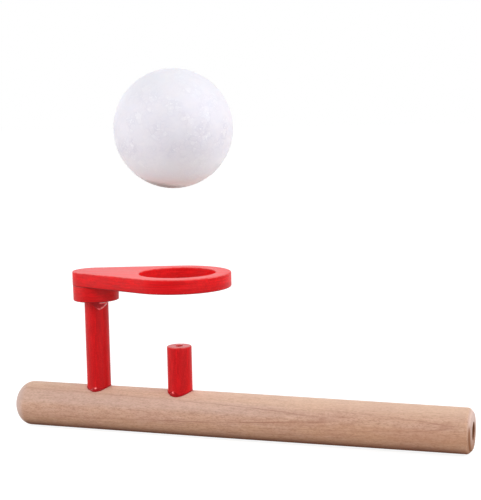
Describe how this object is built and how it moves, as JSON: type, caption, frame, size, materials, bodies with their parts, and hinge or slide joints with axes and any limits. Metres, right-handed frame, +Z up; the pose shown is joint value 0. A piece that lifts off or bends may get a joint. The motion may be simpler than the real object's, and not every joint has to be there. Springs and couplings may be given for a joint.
{
  "type": "blow ball pipe toy",
  "caption": "Wooden blow pipe toy with an upright nozzle, a post-mounted ring and a foam ball that floats on the air jet above the ring.",
  "frame": {"origin": "on the pipe's axis, straight under the vertical axis that the nozzle, the ring's hole and the ball share", "axes": "+X along the pipe to its open mouth, +Y across the pipe, +Z up along the nozzle and the air jet"},
  "size_m": [0.199, 0.049, 0.1532],
  "materials": {
    "bare_wood": "satin",
    "red_wood": "gloss",
    "white_foam": "matte",
    "dry_glue": "gloss"
  },
  "bodies": {
    "pipe": {"pipe_body": "bare_wood", "air_nozzle": "red_wood", "nozzle_glue_bead": "dry_glue", "ring_post": "red_wood", "post_glue_bead": "dry_glue", "ring_collar": "red_wood", "collar_glue_bead": "dry_glue", "ring_plate": "red_wood"},
    "ball": {"foam_ball": "white_foam"}
  },
  "joints": [
    {"name": "ball_float", "type": "slide", "parent": "pipe", "child": "ball", "axis": [0, 0, 1], "range_m": [-0.0412, 0.06]}
  ]
}
